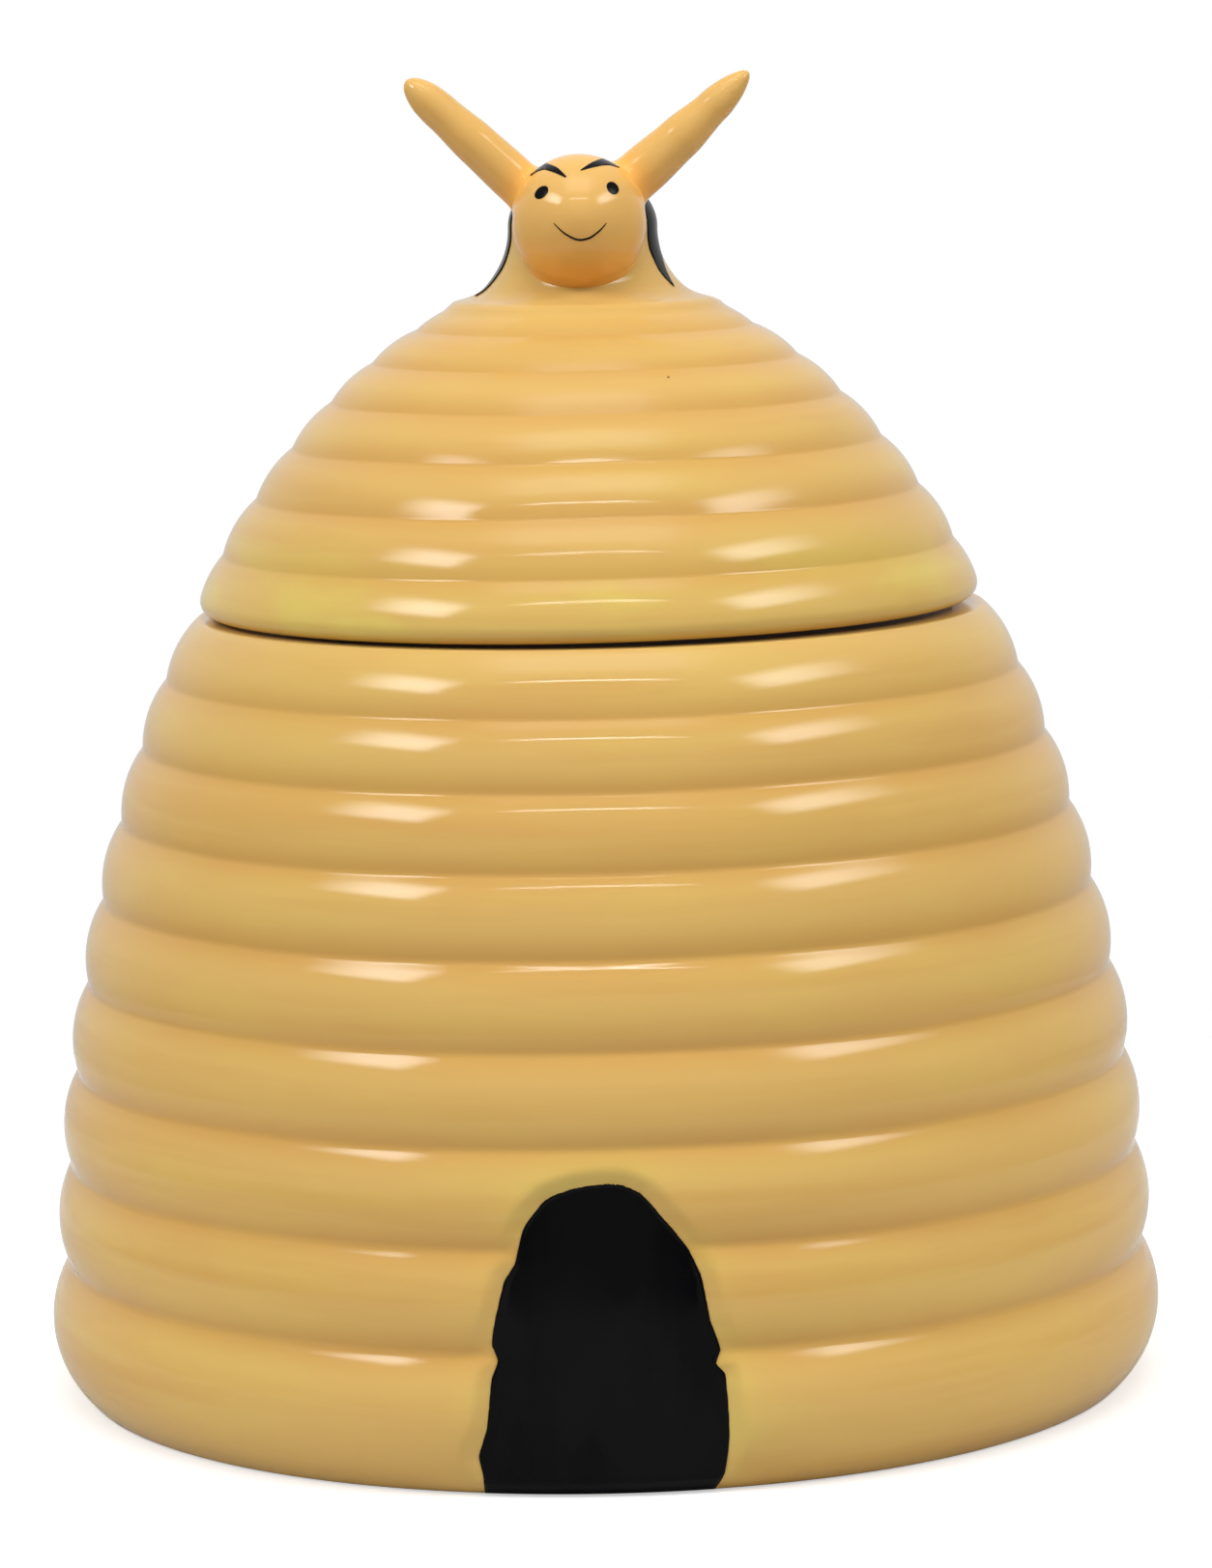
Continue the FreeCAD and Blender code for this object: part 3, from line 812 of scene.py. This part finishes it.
def stripe_shell(front, width, ends, seed):
    """Brushed stripe over the bee's back that thins to a point at each end."""
    angle = np.radians(np.linspace(*ends, STRIPE_COLUMNS))
    share = np.linspace(0, 1, STRIPE_ROWS)[:, None]
    taper = 1 - np.abs(np.linspace(-1, 1, STRIPE_COLUMNS)) ** STRIPE_TAPER
    wobble = [STRIPE_WAVE * waves(angle * STRIPE_WAVE_TURNS, place, seed) for place in STRIPE_EDGE_PLACES]
    along = front + wobble[0] + (width + wobble[1]) * taper * share
    back = along + (STRIPE_ORIGIN_RISE - BODY_RISE) * math.tan(STRIPE_LEAN)
    rise = np.full_like(along, SEAT_HEIGHT + STRIPE_ORIGIN_RISE)
    origin = np.stack([np.zeros_like(along), back, rise], axis=-1)
    leaning = [np.cos(angle) * math.sin(STRIPE_LEAN), np.cos(angle) * math.cos(STRIPE_LEAN)]
    way = np.stack([np.sin(angle), *leaning], axis=-1)
    turn = np.array(Matrix.Rotation(-BEE_TURN, 3, "Z"))
    grid = lid_hits(origin @ turn.T, np.repeat((way @ turn.T)[None], STRIPE_ROWS, axis=0))
    return paint_shell(grid, outward_normals(grid, grid - LID_CENTER))


def make_stripes(enamel):
    shells = [stripe_shell(*stripe, BEE_SEED + number) for number, stripe in enumerate(STRIPES)]
    return make_piece("bee_stripes", *join_shells(shells), [enamel])


def antenna_axis(antenna, share):
    """Points of an antenna's bowed middle line, from inside the head to its end."""
    base, end = [np.array([place[0], ANTENNA_BACK, place[1]]) for place in (antenna.base, antenna.end)]
    root = base - (end - base) * ANTENNA_ROOT / np.linalg.norm(end - base)
    line = root + (end - root) * share[:, None]
    line[:, 2] += antenna.bow * np.sin(math.pi * share)
    return line


def antenna_radius(antenna, share):
    """Radius along an antenna, with a rounded end."""
    length = math.dist(antenna.base, antenna.end) + ANTENNA_ROOT
    radii = np.array(antenna.radii)[:, None]
    radius = smooth_curve(share, np.linspace(0, 1, len(radii)), radii)[:, 0]
    into_tip = np.clip(1 - (1 - share) * length / antenna.tip, 0, 1)
    return radius * np.sqrt(1 - into_tip ** 2)


def antenna_gap(antenna, points):
    """Distance of points from an antenna's skin."""
    share = np.linspace(0, 1, ANTENNA_ROWS)
    skin = zip(antenna_axis(antenna, share), antenna_radius(antenna, share))
    return np.min([np.linalg.norm(points - place, axis=-1) - radius for place, radius in skin], axis=0)


def make_antenna(side, glaze):
    antenna = ANTENNAE[side]
    share = 1 - np.linspace(1, 0, ANTENNA_ROWS) ** ANTENNA_CROWDING
    share[-1] = 1 - ANTENNA_END
    line = antenna_axis(antenna, share)
    ahead = unit(np.gradient(line, axis=0))
    over = unit(np.cross(ahead, (0, 1, 0)))
    beside = np.cross(ahead, over)
    turns = round_turns(ANTENNA_COLUMNS)
    spokes = over[:, None] * np.cos(turns)[:, None] + beside[:, None] * np.sin(turns)[:, None]
    swell = 1 + ANTENNA_WAVE * waves(turns[None], line[:, :1] * ANTENNA_WAVE_STRETCH, BEE_SEED)
    grid = line[:, None] + spokes * (antenna_radius(antenna, share)[:, None] * swell)[..., None]
    gap = head_gap(grid)
    grid = grid + spokes * fillet(gap, ROOT_FILLET)[..., None]
    points, faces = capped_grid(grid, line[0], antenna_axis(antenna, np.array([1.0]))[0])
    # Deeper glaze where the antenna meets the head: glaze pooling and painted shade
    pool = np.append(near_shade(gap).ravel(), [1, 0])
    return make_piece("bee_antenna_" + side + "_ceramic", points, faces, [glaze], pool=pool)


def head_points(directions):
    """Points of the bee's head along directions from its centre, with a fuller chin and a faint nose."""
    chin = HEAD_CHIN * smooth_step(*CHIN_RANGE, directions[..., 2])
    nose = NOSE_RISE * np.exp(-2 * (1 - directions @ NOSE_WAY) / NOSE_SPREAD ** 2)
    return HEAD_CENTER + directions * (HEAD_RADIUS + chin + nose)[..., None]


def root_gaps(points):
    return [antenna_gap(antenna, points) for antenna in ANTENNAE.values()]


def root_swell(gaps):
    return sum(fillet(gap, ROOT_FILLET) for gap in gaps)


def cube_ball():
    """Even directions over a ball from the faces of a divided cube, as points and quads."""
    steps = np.tan(np.linspace(-math.pi / 4, math.pi / 4, HEAD_DIVISIONS))
    first, second = np.meshgrid(steps, steps)
    ones = np.ones_like(first)
    sides = [(first, second, ones), (second, first, -ones), (ones, first, second),
             (-ones, second, first), (second, ones, first), (first, -ones, second)]
    points = np.vstack([np.stack(side, axis=-1).reshape(-1, 3) for side in sides])
    starts = range(0, len(points), HEAD_DIVISIONS ** 2)
    faces = [face for start in starts for face in grid_faces(HEAD_DIVISIONS, HEAD_DIVISIONS, False, start)]
    return unit(points), faces


def make_head(glaze):
    directions, faces = cube_ball()
    points = head_points(directions)
    neck = body_gap(points)
    roots = root_gaps(points)
    swell = fillet(neck, NECK_FILLET) + root_swell(roots)
    # Deeper glaze at the neck and the antenna roots: glaze pooling and painted shade
    pool = near_shade(np.min([np.abs(neck), *np.abs(roots)], axis=0))
    # Painted shade: the lower head turns deeper orange towards the chin
    pool = np.maximum(pool, smooth_step(*CHIN_PAINTED_SHADE_RANGE, directions[:, 2]))
    points = points + directions * swell[:, None]
    return make_piece("bee_head_ceramic", points, faces, [glaze], merge=HEAD_MERGE, pool=pool)


def on_head(right, up):
    """Points on the head's front at places seen from the front, and their outward directions."""
    squeeze = np.minimum(1, FACE_LIMIT * HEAD_RADIUS / np.maximum(np.hypot(right, up), SMALL))
    right = right * squeeze
    up = up * squeeze
    ahead = -np.sqrt(HEAD_RADIUS ** 2 - right ** 2 - up ** 2)
    directions = np.stack([right, ahead, up], axis=-1) / HEAD_RADIUS
    points = head_points(directions)
    return points + directions * root_swell(root_gaps(points))[..., None], directions


def stroke_shell(keys):
    """Brush stroke along key points on the face, each with a width."""
    line = smooth_curve(np.linspace(0, 1, STROKE_STEPS), np.linspace(0, 1, len(keys)), keys)
    ahead = unit(np.gradient(line[:, :2], axis=0))
    side = np.column_stack([-ahead[:, 1], ahead[:, 0]]) * line[:, 2:]
    places = line[:, :2] + np.linspace(-0.5, 0.5, STROKE_ROWS)[:, None, None] * side
    return paint_shell(*on_head(places[..., 0], places[..., 1]))


def eye_shell(center, long_half, wide_half):
    """Oval eye as a square grid drawn out to a disc."""
    steps = np.linspace(-1, 1, EYE_STEPS)
    first, second = np.meshgrid(steps, steps)
    long_share = first * np.sqrt(1 - second ** 2 / 2)
    wide_share = second * np.sqrt(1 - first ** 2 / 2)
    places = [center[axis] + long_half[axis] * long_share + wide_half[axis] * wide_share for axis in (0, 1)]
    return paint_shell(*on_head(*places))


def make_face(enamel):
    shells = [eye_shell(*eye) for eye in EYES] + [stroke_shell(keys) for keys in STROKES]
    return make_piece("bee_face_marks", *join_shells(shells), [enamel])


def wing_placement(side):
    """Turn and place of a folded wing on the bee's back."""
    sign = 1 if side == "right" else -1
    place = Matrix.Translation((sign * WING_PLACE[0], WING_PLACE[1], SEAT_HEIGHT + WING_PLACE[2]))
    place = Matrix.Rotation(-BEE_TURN, 4, "Z") @ place @ Matrix.Rotation(-sign * WING_SPREAD, 4, "Z")
    return np.array(place @ Matrix.Rotation(-WING_PITCH, 4, "X") @ Matrix.Rotation(sign * WING_BANK, 4, "Y"))


def make_wing(side, glaze):
    """Folded wing: a flat drop that is widest towards its end, with a soft fold along it."""
    share = np.linspace(0, 1, WING_ROWS + 2)[1:-1]
    turns = round_turns(WING_COLUMNS)
    around = np.sqrt(1 - (2 * share - 1) ** 2)
    width = around * (WING_NARROW + (1 - WING_NARROW) * smooth_step(0, WING_WIDEST, share)) * WING_WIDTH / 2
    across = width[:, None] * np.cos(turns)
    over = around[:, None] * np.sin(turns) * WING_THICKNESS / 2
    fold = WING_FOLD * np.exp(-(np.cos(turns) / WING_FOLD_WIDTH) ** 2) * around[:, None] * (np.sin(turns) > 0)
    along = np.repeat((share - 0.5)[:, None] * WING_LENGTH, WING_COLUMNS, axis=1)
    grid = np.stack([across, along, over - fold], axis=-1)
    ends = np.array([(0, -WING_LENGTH / 2, 0), (0, WING_LENGTH / 2, 0)])
    place = wing_placement(side)
    grid, ends = [part @ place[:3, :3].T + place[:3, 3] for part in (grid, ends)]
    points, faces = capped_grid(grid, *ends)
    # Deeper glaze where the wing meets the body: glaze pooling and painted shade
    pool = near_shade(body_gap(points))
    return make_piece("bee_wing_" + side + "_ceramic", points, faces, [glaze], pool=pool)


def srgb(levels):
    """Linear colour with full opacity from 0 to 255 levels."""
    shares = np.array(levels) / 255
    linear = np.where(shares <= 0.04045, shares / 12.92, ((shares + 0.055) / 1.055) ** 2.4)
    return [*linear.tolist(), 1.0]


def set_inputs(tree, node, inputs):
    """Inputs of a shader node set to values or linked to outputs."""
    for key, value in inputs.items():
        if isinstance(value, bpy.types.NodeSocket):
            tree.links.new(value, node.inputs[key])
        else:
            node.inputs[key].default_value = value


def add_node(tree, kind, inputs=None, **settings):
    node = tree.nodes.new(kind)
    for name, value in settings.items():
        setattr(node, name, value)
    set_inputs(tree, node, inputs or {})
    return node


def new_material(name):
    """Material with a bare principled shader: the material, its node tree and the shader."""
    material = bpy.data.materials.new(name)
    material.use_nodes = True
    return material, material.node_tree, material.node_tree.nodes["Principled BSDF"]


def noise(tree, kind):
    """Noise of a kind over the object's own place."""
    place = add_node(tree, "ShaderNodeTexCoord").outputs["Object"]
    mapped = add_node(tree, "ShaderNodeMapping", {"Vector": place, "Scale": kind.scale}).outputs["Vector"]
    inputs = {"Vector": mapped, "Scale": 1.0, "Detail": kind.detail, "Roughness": kind.roughness}
    return add_node(tree, "ShaderNodeTexNoise", inputs).outputs["Fac"]


def remap(tree, value, source, target):
    """Value taken smoothly from a source range to a target range."""
    inputs = {"Value": value, "From Min": source[0], "From Max": source[1]}
    inputs.update({"To Min": target[0], "To Max": target[1]})
    return add_node(tree, "ShaderNodeMapRange", inputs, interpolation_type="SMOOTHSTEP").outputs["Result"]


def pattern(tree, kind, target=(0.0, 1.0)):
    return remap(tree, noise(tree, kind), (kind.low, kind.high), target)


def math_node(tree, operation, first, second):
    return add_node(tree, "ShaderNodeMath", {0: first, 1: second}, operation=operation).outputs[0]


def mix_colors(tree, share, first, second):
    """Colour mixed by a share from levels or an output, and from levels."""
    start = first if isinstance(first, bpy.types.NodeSocket) else srgb(first)
    inputs = {MIX_SHARE: share, MIX_FIRST: start, MIX_SECOND: srgb(second)}
    return add_node(tree, "ShaderNodeMix", inputs, data_type="RGBA").outputs[MIX_RESULT]


def point_shade(tree, name):
    return add_node(tree, "ShaderNodeAttribute", attribute_name=name).outputs["Fac"]


def bump(tree, height, distance, strength):
    inputs = {"Height": height, "Distance": distance, "Strength": strength}
    return add_node(tree, "ShaderNodeBump", inputs).outputs["Normal"]


def specks(tree, scale, size, share):
    """1 in small round pits in a share of even cells, with a scale per metre."""
    place = add_node(tree, "ShaderNodeTexCoord").outputs["Object"]
    cells = add_node(tree, "ShaderNodeTexVoronoi", {"Vector": place, "Scale": scale})
    pit = remap(tree, cells.outputs["Distance"], (size, size / 2), (0.0, 1.0))
    channels = add_node(tree, "ShaderNodeSeparateColor", {"Color": cells.outputs["Color"]})
    chosen = math_node(tree, "LESS_THAN", channels.outputs[0], share)
    return math_node(tree, "MULTIPLY", pit, chosen)


def make_material(name, finish, paint, *options):
    """Material with a finish, in a colour that one of the painting functions below gives."""
    material, tree, shader = new_material(name)
    set_inputs(tree, shader, {
        "Base Color": paint(tree, *options),
        "Roughness": pattern(tree, finish.sheen, finish.roughness),
        "Normal": bump(tree, noise(tree, finish.relief), *finish.bumps),
        "Specular IOR Level": finish.gloss,
    })
    return material


def paint_glaze(tree, colors, streak_share, pool_share):
    """Warm yellow with brushed streaks, greenish patches, deeper pools in hollows that are also painted
    shade, and rare specks.
    """
    patch = pattern(tree, GLAZE_PATCHES, (GREEN_LEAST, 1.0))
    patch = math_node(tree, "MULTIPLY", patch, point_shade(tree, "green"))
    streak = pattern(tree, GLAZE_STREAKS, (0.0, streak_share))
    # Deeper glaze in hollows and creases: glaze pooling and painted shade
    pool = math_node(tree, "MULTIPLY", point_shade(tree, "pool"), pool_share)
    color = mix_colors(tree, patch, colors[0], GLAZE_GREEN)
    color = mix_colors(tree, math_node(tree, "MAXIMUM", streak, pool), color, colors[1])
    return mix_colors(tree, specks(tree, *GLAZE_SPECKS), color, GLAZE_SPECK)


def paint_inside(tree):
    """Cream with faint throwing rings and specks."""
    color = mix_colors(tree, pattern(tree, INSIDE_RINGS), *INSIDE_COLORS)
    return mix_colors(tree, specks(tree, *INSIDE_SPECKS), color, INSIDE_SPECK)


def paint_clay(tree):
    """Unglazed clay with fine grain, and grey where it has stood."""
    color = mix_colors(tree, pattern(tree, CLAY_GRAIN), *CLAY_COLORS)
    return mix_colors(tree, pattern(tree, CLAY_WEAR, (0.0, CLAY_WEAR_SHARE)), color, CLAY_WORN)


def paint_enamel(tree):
    """Brushed-on black with darker and bluer strokes."""
    return mix_colors(tree, pattern(tree, ENAMEL_STROKES), *ENAMEL_COLORS)


def paint_silicone_as_seam_shade(tree):
    """Silicone painted dark as the shade in the seam under the lid, with faint dust."""
    return mix_colors(tree, noise(tree, SILICONE_CLOUD), *SEAM_SHADE_SILICONE_COLORS)


def finish_piece(piece, body, slot, *nodes):
    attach(piece, body)
    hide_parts(*nodes)


def make_jar():
    hive_glaze = make_material("hive_glaze", GLAZE_FINISH, paint_glaze, HIVE_COLORS, *HIVE_SHARES)
    bee_glaze = make_material("bee_glaze", GLAZE_FINISH, paint_glaze, BEE_COLORS, *BEE_SHARES)
    inside_glaze = make_material("inside_glaze", INSIDE_FINISH, paint_inside)
    bare_clay = make_material("bare_clay", CLAY_FINISH, paint_clay)
    door_enamel = make_material("door_enamel", DOOR_FINISH, paint_enamel)
    bee_enamel = make_material("bee_enamel", BEE_ENAMEL_FINISH, paint_enamel)
    finish_piece(make_pot(hive_glaze, inside_glaze, bare_clay), "pot", "hive_glaze", "hive_pot")
    finish_piece(make_door(door_enamel), "pot", "black_enamel", "door_enamel")
    finish_piece(make_lid(hive_glaze, inside_glaze), "lid", "hive_glaze", "hive_lid", "bee_body")
    finish_piece(make_stripes(bee_enamel), "lid", "black_enamel", "bee_stripe_enamel")
    finish_piece(make_head(bee_glaze), "lid", "bee_glaze", "bee_head")
    finish_piece(make_face(bee_enamel), "lid", "black_enamel", "bee_face_enamel")
    for side in ANTENNAE:
        finish_piece(make_antenna(side, bee_glaze), "lid", "bee_glaze", "bee_antenna_" + side)
        finish_piece(make_wing(side, bee_glaze), "lid", "bee_glaze", "bee_wing_" + side)
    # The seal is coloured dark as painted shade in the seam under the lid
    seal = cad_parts["lid_seal"]
    seal.data.materials.clear()
    seal.data.materials.append(make_material("silicone", SILICONE_FINISH, paint_silicone_as_seam_shade))


def make_floor_material():
    """Pale floor that glows a little to the camera, and is clear from below to show the foot."""
    material, tree, shader = new_material("floor")
    seen = add_node(tree, "ShaderNodeLightPath").outputs["Is Camera Ray"]
    below = add_node(tree, "ShaderNodeNewGeometry").outputs["Backfacing"]
    set_inputs(tree, shader, {
        "Base Color": mix_colors(tree, pattern(tree, FLOOR_CLOUD), *FLOOR_COLORS),
        "Roughness": FLOOR_ROUGHNESS,
        "Specular IOR Level": FLOOR_GLOSS,
        "Emission Color": srgb(WHITE),
        "Emission Strength": math_node(tree, "MULTIPLY", seen, FLOOR_GLOW),
        "Alpha": math_node(tree, "SUBTRACT", 1.0, below),
    })
    return material


def make_floor():
    mesh = bpy.data.meshes.new("floor")
    radius = np.repeat([[FLOOR_RADIUS], [FLOOR_HOLE]], FLOOR_SIDES, axis=1)
    corners = turned_grid(radius, np.full_like(radius, FLOOR_LEVEL), round_turns(FLOOR_SIDES))
    mesh.from_pydata(corners.reshape(-1, 3).tolist(), [], grid_faces(2, FLOOR_SIDES, True))
    mesh.materials.append(make_floor_material())
    floor = add_object("floor", mesh)


def fade_between(tree, place, rise, fall):
    """1 in the middle of a light's face, falling to 0 towards its two edges."""
    first, second = [remap(tree, place, edge, (0.0, 1.0)) for edge in (rise, fall)]
    return math_node(tree, "MULTIPLY", first, second)


def make_softbox(name, size, radiance, fade):
    """Rectangular light that fades along and across its face."""
    light = bpy.data.lights.new(name, "AREA")
    light.shape = "RECTANGLE"
    light.size, light.size_y = size
    light.energy = radiance * math.pi * size[0] * size[1]
    light.use_nodes = True
    tree = light.node_tree
    place = add_node(tree, "ShaderNodeNewGeometry").outputs["Parametric"]
    axes = add_node(tree, "ShaderNodeSeparateXYZ", {"Vector": place}).outputs
    across = fade_between(tree, axes[0], *fade)
    up = fade_between(tree, axes[1], *LIGHT_UP_FADE)
    set_inputs(tree, tree.nodes["Emission"], {"Strength": math_node(tree, "MULTIPLY", across, up)})
    return light


def place_light(light, azimuth, elevation, distance):
    """Light at a side and height in degrees and a distance in metres, turned to face the jar."""
    side, rise = math.radians(azimuth), math.radians(elevation)
    away = Vector(turned_grid(math.cos(rise), math.sin(rise), side))
    lamp = add_object(light.name, light)
    lamp.location = AIM + away * distance
    lamp.rotation_euler = away.to_track_quat("Z", "Y").to_euler()


def make_lights():
    for name, (size, radiance, fade, place) in LIGHTS.items():
        place_light(make_softbox(name, size, radiance, fade), *place)


def make_world():
    """White to the camera; for all else a dim room, darker below and paler behind the jar."""
    world = bpy.data.worlds.new("studio")
    world.use_nodes = True
    tree = world.node_tree
    seen = add_node(tree, "ShaderNodeLightPath").outputs["Is Camera Ray"]
    way = add_node(tree, "ShaderNodeTexCoord").outputs["Generated"]
    axes = add_node(tree, "ShaderNodeSeparateXYZ", {"Vector": way}).outputs
    up = remap(tree, axes["Z"], ROOM_RISE, (ROOM_BELOW, ROOM_ABOVE))
    room = math_node(tree, "ADD", up, remap(tree, axes["Y"], ROOM_DEPTH, (0.0, ROOM_BEHIND)))
    strength = math_node(tree, "MAXIMUM", room, seen)
    set_inputs(tree, tree.nodes["Background"], {"Strength": strength, "Color": srgb(WHITE)})
    bpy.context.scene.world = world
    bpy.context.scene.view_settings.view_transform = "Standard"


def make_camera():
    """Camera of the photograph, looking down from above the lid and rolled a little."""
    data = bpy.data.cameras.new("camera")
    data.sensor_width = SENSOR
    data.lens = SENSOR * PHOTO_FOCAL / PHOTO_HEIGHT
    camera = add_object("camera", data)
    turn = Matrix.Rotation(math.pi / 2 - CAMERA_PITCH, 4, "X") @ Matrix.Rotation(-CAMERA_ROLL, 4, "Z")
    camera.matrix_world = Matrix.Translation(CAMERA_PLACE) @ turn
    bpy.context.scene.camera = camera


make_jar()
make_floor()
make_world()
make_lights()
make_camera()
